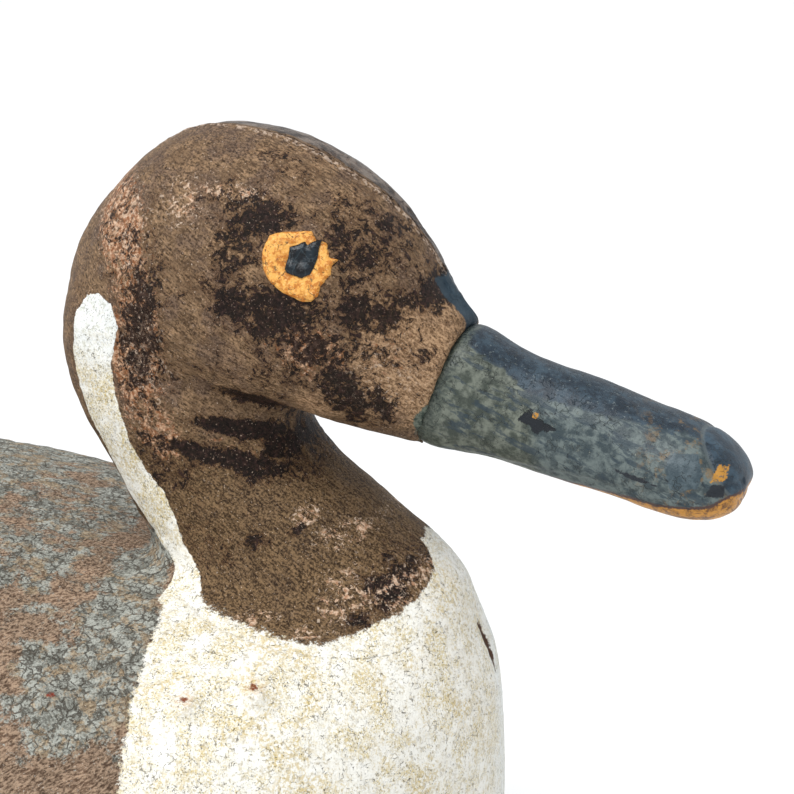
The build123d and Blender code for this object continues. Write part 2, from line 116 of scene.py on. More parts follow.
def patches(x, z, rows):
    """The strongest of some soft patches: middle x, z, half sizes, tilt, strength."""
    out = np.zeros(len(x))
    for cx, cz, rx, rz, tilt, strength in rows:
        c, s = math.cos(math.radians(tilt)), math.sin(math.radians(tilt))
        u, v = (x - cx) * c + (z - cz) * s, (z - cz) * c - (x - cx) * s
        out = np.maximum(out, strength * np.exp(-0.7 * ((u / rx) ** 2 + (v / rz) ** 2)))
    return out


def read(me, what="co"):
    flat = np.empty(len(me.vertices) * 3, np.float32)
    me.vertices.foreach_get(what, flat)
    return flat.reshape(-1, 3).astype(float) * (1000.0 if what == "co" else 1.0)


def write(me, p):
    me.vertices.foreach_set("co", (p * MM).astype(np.float32).ravel())
    me.update()


def within_cad(p):
    low, high = (np.array(corner) * 1000 for corner in CAD_BOX)
    return np.clip(p, low + 0.03, high - 0.03)


def store(me, name, values):
    me.attributes.new(name, "FLOAT", "POINT").data.foreach_set("value", values.astype(np.float32))


def relax(me, p, weight, rounds):
    """Evens out a surface, more where weight is near 1."""
    edges = np.empty(len(me.edges) * 2, np.int32)
    me.edges.foreach_get("vertices", edges)
    a, b = edges.reshape(-1, 2).T
    count = np.bincount(edges, minlength=len(p))[:, None]
    for _ in range(rounds):
        total = np.stack([np.bincount(a, p[b, k], len(p)) + np.bincount(b, p[a, k], len(p))
                          for k in range(3)], 1)
        p = p + weight[:, None] * (total / count - p)
    return p


# ------------------------------------------------------------------ pieces
def add_object(name, me):
    ob = bpy.data.objects.new(name, me)
    bpy.context.scene.collection.objects.link(ob)
    return ob


def remeshed(nodes, voxel, plugs=()):
    bm = bmesh.new()
    for n in nodes:
        bm.from_mesh(NODES[n].data)
    for plug in plugs:
        bmesh.ops.create_cone(bm, cap_ends=True, segments=24, radius1=PLUG_RADIUS * MM,
                              radius2=PLUG_RADIUS * MM, depth=PLUG_DEPTH * MM, matrix=plug)
    me = bpy.data.meshes.new("blank")
    bm.to_mesh(me)
    bm.free()
    ob = add_object("blank", me)
    mod = ob.modifiers.new("voxels", "REMESH")
    mod.mode, mod.voxel_size = "VOXEL", voxel * MM
    out = bpy.data.meshes.new_from_object(ob.evaluated_get(bpy.context.evaluated_depsgraph_get()))
    bpy.data.objects.remove(ob)
    return out


def finished(name, bm, body, nodes, material):
    me = bpy.data.meshes.new(name)
    bm.normal_update()
    bm.to_mesh(me)
    bm.free()
    me.materials.clear()
    me.materials.append(material)
    me.shade_smooth()
    ob = add_object(name, me)
    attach(ob, body)
    if nodes:
        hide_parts(*nodes)
    return ob


# ------------------------------------------------------------------ where the paint lies
STRIPE = [(84.8, 171.5), (83.4, 162), (84.4, 154.5), (87, 147), (89.4, 140), (93, 134), (96.5, 130),
          (99.5, 127), (102.4, 125.2), (104.4, 123.6), (104.8, 119), (105, 114),
          (117, 114), (112.4, 120.4), (110.4, 123.6),
          (108.2, 126.2), (106.2, 128.2), (104.8, 132.5), (102.4, 138),
          (98.4, 142), (95.8, 147), (94.4, 153), (93.4, 158.5), (93.2, 163), (95.2, 170),
          (94.2, 174.5), (91, 176), (87.6, 175)]
WORN = ((124, 192.5, 9, 4.5, -8, 0.90), (120.5, 187, 5.5, 8, 6, 0.80), (141, 186, 8, 10, 30, 0.80),
        (127, 176, 14, 5.5, -10, 1.05), (143, 176, 8, 6, -25, 0.95), (139, 161, 4.5, 8, 12, 0.98),
        (145.6, 158.5, 3.5, 4, 20, 0.95), (124, 155.5, 9.5, 1.9, -22, 1.6), (113, 146, 14, 1.8, -12, 1.35),
        (117, 151, 7, 1.6, -15, 1.5),
        (122, 143, 5, 1.6, 10, 1.1),
        (101, 171, 5.2, 16, -6, 0.98), (97, 187, 6, 9, 20, 0.72), (152.2, 178, 3.2, 3.6, 0, 1.1),
        (124.5, 147.5, 6, 5, 20, 0.98), (117, 195.5, 8, 2.4, -4, 0.62), (103, 143, 6, 9, 60, 0.62),
        (134, 170, 8, 5, 0, 0.86), (128, 201, 12, 5, -12, 0.42), (140, 194, 10, 6, -35, 0.42),
        (146, 168, 10, 7, 0, 0.60), (117, 162, 7, 7, 0, 0.46), (128, 164, 9, 6, 0, 0.55),
        (147, 123.5, 4.5, 4.5, 0, 1.0), (143, 119, 4, 2, 0, 0.8), (121.5, 130.5, 3, 1.6, 20, 0.9),
        (129.5, 133.5, 1.6, 1.2, 30, 1.1), (112, 131, 9, 7, 0, 0.35))
BARE = ((99, 168, 6, 17, -6, 1.0), (96, 188, 6, 11, 22, 1.0), (134, 169, 8, 6, 0, 0.75),
        (102, 150, 6, 9, 20, 0.72), (112, 192, 8, 4, 0, 0.35), (147, 168, 9, 8, 0, 0.45),
        (126, 176, 14, 5, -10, 0.5), (116, 148, 14, 4, -10, 0.45))
FLECKS = ((109, 194, 5, 5, 0, 0.9), (117, 196.3, 9, 1.4, -4, 1.0), (95, 190, 7, 11, 20, 1.0),
          (137, 132, 4.5, 2.4, 0, 1.15), (139, 122.5, 4, 4.5, -6, 1.25), (146.5, 122.5, 6, 4, -6, 1.1),
          (130, 135.4, 2.6, 2.0, 0, 1.1),
          (124, 118.6, 5, 0.9, 6, 1.2), (135, 117.2, 3, 0.8, 0, 1.2), (150.5, 124.5, 2, 3, 0, 1.1),
          (146, 164, 8, 8, 0, 0.55), (112, 170, 5, 12, 0, 0.35), (120, 116, 9, 2.4, 0, 0.8),
          (101, 165, 6, 18, -6, 0.7), (135, 142, 3, 5, 0, 0.6))
TAN = ((150, 166, 9, 11, 0, 1.0), (128, 205, 20, 6, -12, 0.4), (108, 160, 8, 16, 0, 0.3),
       (119, 165, 7, 9, 0, 0.45), (138, 196, 10, 8, -30, 0.4), (133, 158, 5, 4, 0, 0.7))
FACE = [(161.5, 172), (160, 172.5), (157.2, 166), (155.6, 161.5), (152.8, 158.4),
        (150.6, 156), (150.2, 153),
        (149.6, 150), (160, 147)]
GREY_BACK = ((101, 111, 11, 8, 0, 1.0), (98, 122, 6, 9, 0, 0.9), (72, 124, 16, 5, 0, 0.55),
             (40, 122, 24, 14, 0, 0.9), (-30, 118, 40, 12, 0, 0.8), (-110, 100, 30, 12, 0, 0.9),
             (70, 95, 22, 9, 0, 0.8), (0, 92, 30, 10, 0, 0.8), (-70, 90, 30, 9, 0, 0.7))
EYE_RING = [(-5.3, 4.2), (-4.2, 4.7), (-1.9, 4.9), (0.3, 5.0), (1.7, 5.0), (2.4, 4.1), (2.6, 3.4),
            (3.4, 3.5), (4.5, 2.9), (5.2, 0.7), (6.8, 0.2), (5.9, -0.7), (5.8, -2.3), (5.0, -3.3),
            (4.4, -4.3), (4.0, -6.0), (2.9, -6.9), (1.4, -7.0), (0, -6.3), (-1.8, -5.6),
            (-3.4, -4.6), (-4.7, -3.4), (-5.7, -1.5), (-6.2, 0.2), (-6.1, 1.8), (-5.7, 3.1)]
PUPIL = [(-1.6, 2.3), (-0.5, 2.7), (0.4, 3.1), (0.9, 3.2), (1.4, 2.6), (2.4, 3.2), (3.5, 3.4),
         (3.5, 1.6), (3.4, 0.2), (3.0, -1.2), (2.4, -2.3), (1.1, -3.0), (-0.2, -2.6), (-1.6, -2.2),
         (-2.1, -1.6), (-1.8, 0)]
EDGE_LOW, EDGE_LOW_TURN, EDGE_STRIPE_TURN = 115.9, 76.0, 131.0    # mm, degrees round from the front
EDGE_FRONT_RISE, EDGE_SIDE_RISE = 11.3, 4.7
EDGE_NAPE = ((EDGE_STRIPE_TURN, 150, 180), (0, 8.4, 11.4))
nail_co = read(NODES["seam_nails"].data)
NAIL_LEAN = math.radians(22)


def nail_top(x, side):
    """Where the paint lies over a seam nail's sunk head, mm."""
    axis = np.array((0, side * math.sin(NAIL_LEAN), math.cos(NAIL_LEAN)))
    co = nail_co[(abs(nail_co[:, 0] - x) < 5) & (nail_co[:, 1] * side > 0)]
    height = co @ axis
    return co[height > height.max() - 0.2].mean(0) + PAINT_OVER_NAIL * axis


NAILS = [nail_top(x, side) for x in (130.4, 119.8, 97.0, -135.3) for side in (-1, 1)]


def brown_edge(turn):
    """Height of the lower edge of the brown paint, mm."""
    front = EDGE_FRONT_RISE * np.clip(1 - turn / EDGE_LOW_TURN, 0, 1) ** 1.6
    span = EDGE_STRIPE_TURN - EDGE_LOW_TURN
    side = EDGE_SIDE_RISE * np.clip((turn - EDGE_LOW_TURN) / span, 0, 1) ** 1.2
    return EDGE_LOW + front + side + np.interp(turn, *EDGE_NAPE)


def carving_fields(p):
    x, y, z = p.T
    a = abs(y)
    f = {}
    spread = 34 - np.hypot(x - NECK[0], a) + 2.2 * np.maximum(z - 118, 0)
    on_head = ease(z - 0.15 * a, 108, 110) * ease(spread, 0, 2)
    f["stripe"] = np.where(on_head > 0.5, inside(x, z, STRIPE), -9)
    turn = np.degrees(np.arctan2(a, x - 130))
    edge = brown_edge(turn) + 0.8 * np.clip(y + 1, 0, 8) * (1 - ease(turn, 40, 80))
    f["brown"] = np.clip(z - edge, -40, 12) - 40 * (1 - on_head)
    f["white"] = x - 104.5 - 0.2 * np.maximum(a - 17, 0) - 0.12 * np.maximum(97 - z, 0)
    f["worn"] = patches(x, z, WORN) * on_head
    f["bare"] = patches(x, z, BARE) * on_head
    f["flecks"] = patches(x, z, FLECKS) * on_head
    f["tan"] = patches(x, z, TAN) * on_head
    f["face"] = np.where(on_head > 0.5, inside(x, z, FACE), -9)
    f["culmen"] = np.minimum(np.minimum(x - 150.5, 4.6 - abs(y - 1.6)), np.minimum(180 - z, z - 160))
    line = np.interp(x, (88, 105, 120, 134, 141, 146, 152), (0.5, -1.6, -3.4, -3.1, -0.4, 2.0, 3.0))
    f["crown"] = np.where((z > 165) & (on_head > 0.5), y - line - 0.35 * wave(p * (1, 0, 1), 7, 7), 20.0)
    f["grey"] = patches(x, z, GREY_BACK)
    f["rust"] = np.zeros(len(p))
    for nail in NAILS:
        d = np.hypot(x - nail[0], y - nail[1]) + 0.3 * np.maximum(nail[2] - z, 0)
        f["rust"] = np.maximum(f["rust"], np.exp(-(d / 2.0) ** 2))
    chip = np.hypot((y - 6 + 0.25 * (z - 105)) / 1.0, (z - 105.5) / 4.6)
    f["chip"] = np.where(x > 150, 1.4 - chip, -3)
    return f


# ------------------------------------------------------------------ shader building
class Paint:
    """A node material written as short sums. Lengths in it are millimetres."""

    def __init__(self, name):
        self.mat = bpy.data.materials.new(name)
        self.mat.use_nodes = True
        self.tree = self.mat.node_tree
        self.tree.nodes.clear()
        self.out = self.node("ShaderNodeOutputMaterial")
        self.shader = self.node("ShaderNodeBsdfPrincipled")
        self.link(self.shader.outputs[0], self.out.inputs["Surface"])
        where = self.node("ShaderNodeTexCoord").outputs["Object"]
        self.pos = self.vector("SCALE", where, scale=1000.0)
        self.normal = None

    def node(self, kind, **settings):
        n = self.tree.nodes.new(kind)
        for key, value in settings.items():
            setattr(n, key, value)
        return n

    def link(self, source, target):
        self.tree.links.new(source, target)

    def put(self, target, value):
        if isinstance(value, bpy.types.NodeSocket):
            self.link(value, target)
        elif isinstance(value, tuple) and len(value) == 3 and target.type == "RGBA":
            target.default_value = (*value, 1.0)
        else:
            target.default_value = value

    def vector(self, operation, a, b=None, scale=None):
        n = self.node("ShaderNodeVectorMath", operation=operation)
        self.put(n.inputs[0], a)
        if b is not None:
            self.put(n.inputs[1], b)
        if scale is not None:
            self.put(n.inputs["Scale"], scale)
        return n.outputs["Value"] if operation == "DOT_PRODUCT" else n.outputs[0]

    def math(self, operation, a, b=0.0, c=None, clamp=False):
        n = self.node("ShaderNodeMath", operation=operation, use_clamp=clamp)
        for socket, value in zip(n.inputs, (a, b) if c is None else (a, b, c)):
            self.put(socket, value)
        return n.outputs[0]

    def add(self, a, b):
        return self.math("ADD", a, b)

    def mul(self, a, b):
        return self.math("MULTIPLY", a, b)

    def sub(self, a, b):
        return self.math("SUBTRACT", a, b)

    def most(self, a, b):
        return self.math("MAXIMUM", a, b)

    def off(self, a):
        return self.math("SUBTRACT", 1.0, a)

    def step(self, x, low, high):
        n = self.node("ShaderNodeMapRange", interpolation_type="SMOOTHSTEP")
        for key, value in (("Value", x), ("From Min", low), ("From Max", high)):
            self.put(n.inputs[key], value)
        return n.outputs[0]

    def noise(self, size, detail=3.0, roughness=0.55, distortion=0.0, at=None):
        n = self.node("ShaderNodeTexNoise")
        self.put(n.inputs["Vector"], at or self.pos)
        for key, value in (("Scale", 1.0 / size), ("Detail", detail), ("Roughness", roughness),
                           ("Distortion", distortion)):
            self.put(n.inputs[key], value)
        return n.outputs[0]

    def warp(self, size, amount):
        n = self.node("ShaderNodeTexNoise")
        self.put(n.inputs["Vector"], self.pos)
        self.put(n.inputs["Scale"], 1.0 / size)
        self.put(n.inputs["Detail"], 3.0)
        shift = self.vector("SUBTRACT", n.outputs["Color"], (0.5, 0.5, 0.5))
        return self.vector("ADD", self.pos, self.vector("SCALE", shift, scale=2.0 * amount))

    def cracks(self, size, at=None):
        """Distance from the edges of cells, in cell sizes."""
        n = self.node("ShaderNodeTexVoronoi", feature="DISTANCE_TO_EDGE")
        self.put(n.inputs["Vector"], at or self.pos)
        self.put(n.inputs["Scale"], 1.0 / size)
        return n.outputs["Distance"]

    def streaks(self, tilt, length, width, detail=3.0, roughness=0.6):
        """Noise drawn out along a slanting line in side view."""
        c, s = math.cos(math.radians(tilt)), math.sin(math.radians(tilt))
        n = self.node("ShaderNodeCombineXYZ")
        self.put(n.inputs[0], self.vector("DOT_PRODUCT", self.pos, (c / length, 0.0, s / length)))
        self.put(n.inputs[1], self.vector("DOT_PRODUCT", self.pos, (0.0, 0.6 / width, 0.0)))
        self.put(n.inputs[2], self.vector("DOT_PRODUCT", self.pos, (-s / width, 0.0, c / width)))
        return self.noise(1.0, detail, roughness, 0.3, n.outputs[0])

    def field(self, name):
        return self.node("ShaderNodeAttribute", attribute_name=name).outputs["Fac"]

    def coordinate(self, axis):
        n = self.node("ShaderNodeSeparateXYZ")
        self.put(n.inputs[0], self.pos)
        return n.outputs[axis]

    def mix(self, amount, a, b):
        n = self.node("ShaderNodeMix", data_type="RGBA")
        self.put(n.inputs[0], amount)
        self.put(n.inputs[6], a)
        self.put(n.inputs[7], b)
        return n.outputs[2]

    def tones(self, x, low, high, dark, light):
        """Dark where x is under `low`, light where it is over `high`."""
        return self.mix(self.step(x, low, high), dark, light)

    def share(self, a, b, part):
        """`part` of a and the rest of b."""
        return self.add(self.mul(a, part), self.mul(b, 1.0 - part))

    def blend(self, amount, a, b):
        n = self.node("ShaderNodeMix", data_type="FLOAT")
        self.put(n.inputs[0], amount)
        self.put(n.inputs[2], a)
        self.put(n.inputs[3], b)
        return n.outputs[0]

    def bump(self, height, depth, strength=1.0):
        """height runs from 0 to 1 over `depth` mm."""
        n = self.node("ShaderNodeBump")
        self.put(n.inputs["Strength"], strength)
        self.put(n.inputs["Distance"], depth * MM)
        self.put(n.inputs["Height"], height)
        if self.normal is not None:
            self.link(self.normal, n.inputs["Normal"])
        self.normal = n.outputs[0]

    def done(self, colour, roughness, metallic=0.0, coat=0.0, level=0.5):
        self.put(self.shader.inputs["Base Color"], colour)
        self.put(self.shader.inputs["Roughness"], roughness)
        self.put(self.shader.inputs["Metallic"], metallic)
        self.shader.inputs["Specular IOR Level"].default_value = level
        if coat:
            self.shader.inputs["Coat Weight"].default_value = coat
            self.shader.inputs["Coat Roughness"].default_value = 0.25
        if self.normal is not None:
            self.link(self.normal, self.shader.inputs["Normal"])
        return self.mat


def carving_paint(name):
    """The old paint on the carving: brown head, white breast and stripes, grey-blue back."""
    m = Paint(name)
    z, y = m.coordinate(2), m.coordinate(1)
    grit, fine = m.noise(0.42, 3.0, 0.7), m.noise(0.8, 5.0, 0.7)
    mid, big = m.noise(3.0, 4.0, 0.6), m.noise(12.0, 3.0)
    flaky = m.noise(2.4, 8.0, 0.78, 0.5)
    ragged = m.noise(1.1, 5.0, 0.75)
    scratch = m.streaks(-33, 2.2, 0.40, 4.0, 0.68)
    far = m.mul(m.step(m.field("crown"), 0.2, 1.2), m.step(m.sub(19.0, m.field("crown")), 0.0, 1.0))

    # brown top coat
    grain = m.add(m.mul(grit, 0.45), m.mul(scratch, 0.55))
    brown = m.mix(m.step(grain, 0.38, 0.62), (0.034, 0.018, 0.008), (0.345, 0.220, 0.125))
    brown = m.mix(m.mul(m.step(mid, 0.40, 0.62), 0.55), brown, (0.100, 0.060, 0.034))
    shade = m.step(m.noise(6.5, 5.0, 0.62), 0.46, 0.62)
    brown = m.mix(m.mul(shade, 0.50), brown,
                  m.tones(grit, 0.4, 0.62, (0.036, 0.022, 0.019), (0.150, 0.102, 0.082)))
    tan = m.mul(m.step(m.add(m.field("tan"), m.mul(m.sub(flaky, 0.5), 1.2)), 0.3, 0.75), 0.8)
    brown = m.mix(tan, brown, m.mix(m.step(grain, 0.40, 0.60), (0.135, 0.074, 0.036), (0.52, 0.335, 0.195)))
    neck = m.off(m.step(z, 143, 157))
    olive = m.tones(m.share(grit, scratch, 0.6), 0.42, 0.60, (0.024, 0.013, 0.005), (0.215, 0.136, 0.066))
    brown = m.mix(m.mul(neck, 0.72), brown, olive)
    # grey tone on the far top of the crown: partly the worn, polished paint there, partly a painted sheen
    polish_and_sheen = m.mul(far, m.step(z, 172, 178))
    brown = m.mix(polish_and_sheen, brown, m.tones(mid, 0.4, 0.6, (0.055, 0.045, 0.040), (0.19, 0.155, 0.130)))
    # paint worn off to bare wood, and to the dark undercoat
    loose = m.add(m.field("bare"), m.mul(m.sub(ragged, 0.5), 1.6))
    bare = m.mul(m.step(loose, 0.50, 0.68), m.step(flaky, 0.42, 0.49))
    wood = m.mix(m.step(fine, 0.42, 0.60), (0.26, 0.095, 0.035), (0.66, 0.42, 0.27))
    brown = m.mix(m.mul(bare, 0.85), brown, wood)
    crumbs = m.mul(m.sub(m.noise(1.7, 8.0, 0.80, 0.6), 0.5), 3.4)
    crumbs = m.add(crumbs, m.mul(m.sub(m.noise(5.5, 3.0), 0.5), 1.2))
    crumbs = m.add(crumbs, m.mul(m.sub(grit, 0.5), 0.9))
    worn_height = m.add(m.field("worn"), crumbs)
    worn = m.step(worn_height, 0.62, 0.70)
    dark = m.mix(m.step(fine, 0.44, 0.68), (0.003, 0.0018, 0.002), (0.036, 0.017, 0.015))
    brown = m.mix(m.mul(worn, 0.94), brown, dark)
    ring = m.mul(m.off(worn), m.step(worn_height, 0.50, 0.60))
    brown = m.mix(m.mul(ring, 0.40), brown, (0.30, 0.155, 0.075))
    stray = m.step(m.noise(0.6, 4.0, 0.75), 0.64, 0.68)
    brown = m.mix(m.mul(stray, 0.8), brown, (0.028, 0.018, 0.017))
    thick = m.step(m.field("flecks"), 0.15, 0.75)
    fleck = m.mul(m.step(m.noise(0.9, 5.0, 0.78, 0.5), 0.585, 0.62), thick)
    fleck = m.most(fleck, m.mul(m.step(m.noise(0.40, 2.0, 0.7), 0.67, 0.71), 0.8))
    brown = m.mix(m.mul(fleck, 0.88), brown, m.mix(mid, (0.58, 0.38, 0.26), (0.74, 0.64, 0.52)))
    clump = m.mul(m.step(m.noise(1.9, 7.0, 0.80, 0.5), 0.535, 0.565), m.step(m.field("flecks"), 0.55, 0.85))
    brown = m.mix(m.mul(clump, 0.85), brown,
                  m.tones(fine, 0.4, 0.6, (0.44, 0.235, 0.135), (0.74, 0.55, 0.40)))
    crown = m.math("ABSOLUTE", m.add(m.field("crown"), m.mul(m.sub(ragged, 0.5), 0.9)))
    groove = m.off(m.step(crown, 0.22, 0.55))
    brown = m.mix(groove, brown, (0.022, 0.014, 0.011))
    lip = m.step(m.sub(1.5, m.math("ABSOLUTE", m.add(m.field("crown"), 1.4))), 0.2, 1.0)
    brown = m.mix(m.mul(m.mul(lip, m.step(fine, 0.50, 0.56)), 0.8), brown, (0.52, 0.40, 0.31))
    face = m.step(m.add(m.field("face"), m.mul(m.sub(flaky, 0.5), 2.2)), -0.1, 0.3)
    brown = m.mix(face, brown, m.mix(m.step(ragged, 0.4, 0.62), (0.040, 0.055, 0.046), (0.15, 0.17, 0.135)))
    culmen = m.step(m.add(m.field("culmen"), m.mul(m.sub(flaky, 0.5), 3.0)), -0.2, 0.3)
    brown = m.mix(culmen, brown, m.mix(mid, (0.014, 0.026, 0.040), (0.050, 0.078, 0.10)))

    # white coat of the breast and stripes
    is_stripe = m.step(m.add(m.field("stripe"), m.mul(m.sub(ragged, 0.5), 1.3)), -0.08, 0.10)
    white = m.mix(m.step(mid, 0.35, 0.7), (0.90, 0.89, 0.83), (0.83, 0.81, 0.735))
    stain = m.mul(m.step(m.noise(5.0, 6.0, 0.7), 0.44, 0.60), m.step(grit, 0.42, 0.60))
    white = m.mix(m.mul(stain, 0.72), white, (0.60, 0.47, 0.17))
    ochre_dust = m.mul(m.step(m.noise(9.0, 5.0, 0.7), 0.47, 0.60),
                       m.step(m.noise(0.7, 4.0, 0.7), 0.47, 0.56))
    white = m.mix(m.mul(ochre_dust, 0.62), white, (0.56, 0.41, 0.12))
    mottle = m.step(m.noise(0.9, 4.0, 0.72), 0.53, 0.64)
    white = m.mix(m.mul(mottle, 0.62), white, (0.50, 0.43, 0.29))
    # painted shade: the white is tinted bluish grey towards the far side (+y); the same tint is laid on the
    # stripe above 158 mm
    shade_bluish = m.most(m.step(z, 158, 170), m.step(m.add(y, m.mul(m.sub(big, 0.5), 30.0)), -8, 20))
    white = m.mix(m.mul(shade_bluish, 0.7), white, m.mix(mottle, (0.84, 0.88, 0.885), (0.62, 0.66, 0.62)))
    dirt = m.step(m.noise(2.0, 8.0, 0.8), 0.585, 0.64)
    white = m.mix(m.mul(dirt, 0.55), white, (0.30, 0.245, 0.16))
    many = m.step(m.noise(5.0, 3.0, 0.6), 0.34, 0.62)
    specks = m.mul(m.step(m.noise(0.30, 3.0, 0.62), 0.615, 0.65), many)
    white = m.mix(m.mul(specks, 0.88), white, (0.075, 0.062, 0.048))
    crazed = m.cracks(1.15, m.warp(0.9, 0.55))
    broken = m.step(m.noise(1.3, 4.0, 0.7), 0.545, 0.60)
    craze = m.mul(m.off(m.step(crazed, 0.012, 0.045)), broken)
    white = m.mix(m.mul(craze, 0.80), white, (0.17, 0.145, 0.11))
    rust = m.step(m.add(m.field("rust"), m.mul(m.sub(ragged, 0.5), 0.9)), 0.80, 0.98)
    halo = m.mul(m.step(m.field("rust"), 0.02, 0.9), m.step(fine, 0.42, 0.6))
    white = m.mix(m.mul(halo, 0.6), white, (0.52, 0.30, 0.12))
    white = m.mix(rust, white, (0.20, 0.058, 0.024))
    chip = m.step(m.add(m.field("chip"), m.mul(m.sub(ragged, 0.5), 1.4)), 0.0, 0.25)
    white = m.mix(chip, white, (0.085, 0.045, 0.030))

    # blue-grey, crackled coat of the back and sides, over brown
    tool = m.streaks(33, 1.7, 0.42, 4.0, 0.66)
    under = m.tones(m.share(tool, grit, 0.7), 0.40, 0.60, (0.070, 0.042, 0.027), (0.36, 0.255, 0.175))
    cloudy = m.mul(m.step(m.noise(7.0, 6.0, 0.68), 0.47, 0.58), 0.5)
    under = m.mix(cloudy, under, m.tones(tool, 0.4, 0.6, (0.16, 0.095, 0.06), (0.46, 0.32, 0.22)))
    grey = m.tones(m.share(mid, grit, 0.5), 0.40, 0.60, (0.135, 0.135, 0.115), (0.42, 0.43, 0.385))
    cells = m.cracks(1.7, m.warp(1.5, 1.1))
    wrinkle = m.mul(m.off(m.step(cells, 0.03, 0.13)), m.step(m.noise(1.8, 3.0, 0.6), 0.40, 0.50))
    grey = m.mix(m.mul(wrinkle, 0.80), grey, (0.060, 0.050, 0.038))
    ochre = m.step(m.add(m.noise(5.0, 8.0, 0.75), m.mul(grit, 0.12)), 0.57, 0.64)
    grey = m.mix(m.mul(ochre, 0.72), grey,
                 m.tones(tool, 0.4, 0.6, (0.20, 0.135, 0.075), (0.46, 0.34, 0.21)))
    patchy = m.add(m.mul(m.sub(m.noise(8.0, 8.0, 0.74), 0.5), 2.4), m.mul(m.sub(grit, 0.5), 0.35))
    has_grey = m.step(m.add(m.field("grey"), patchy), 0.32, 0.50)
    back = m.mix(has_grey, under, grey)
    back = m.mix(m.mul(m.step(m.noise(0.5, 3.0, 0.65), 0.63, 0.67), 0.75), back, (0.045, 0.034, 0.028))
    back = m.mix(m.mul(m.step(m.noise(0.45, 2.0, 0.65), 0.66, 0.70), 0.6), back, (0.60, 0.56, 0.49))
    back = m.mix(rust, back, (0.24, 0.040, 0.020))
    keel_side = m.off(m.step(z, 64, 76))
    back = m.mix(m.mul(keel_side, 0.45), back, (0.115, 0.090, 0.068))

    # where one coat ends and the next begins
    edge = m.add(m.mul(m.sub(m.noise(2.6, 8.0, 0.78), 0.5), 3.6), m.mul(m.sub(grit, 0.5), 1.4))
    is_brown = m.mul(m.step(m.add(m.field("brown"), edge), -0.2, 0.2), m.off(is_stripe))
    is_white = m.step(m.add(m.field("white"), m.mul(edge, 1.5)), -0.3, 0.3)
    is_white = m.most(is_white, is_stripe)
    colour = m.mix(is_white, back, white)
    colour = m.mix(is_brown, colour, brown)

    # relief of the coats
    skin = m.mul(is_brown, m.add(m.mul(m.off(worn), 0.5), m.mul(m.off(bare), 0.2)))
    m.bump(m.add(skin, m.mul(m.off(is_brown), 0.9)), 0.20)

    def by_coat(on_back, on_white, on_brown):
        return m.blend(is_brown, m.blend(is_white, on_back, on_white), on_brown)

    m.bump(by_coat(tool, mid, scratch), 0.40, by_coat(0.9, 0.3, 0.7))
    crazing = m.off(m.most(craze, specks))
    m.bump(by_coat(m.off(m.mul(wrinkle, has_grey)), crazing, m.off(groove)), 0.22)
    m.bump(grit, 0.22)
    m.bump(fine, 0.16)
    on_brown = m.blend(worn, m.add(0.46, m.mul(scratch, 0.25)), 0.48)
    rough = by_coat(m.add(0.66, m.mul(mid, 0.2)), 0.68, on_brown)
    rough = m.blend(m.mul(is_brown, polish_and_sheen), rough, 0.36)
    return m.done(colour, rough, level=0.12)


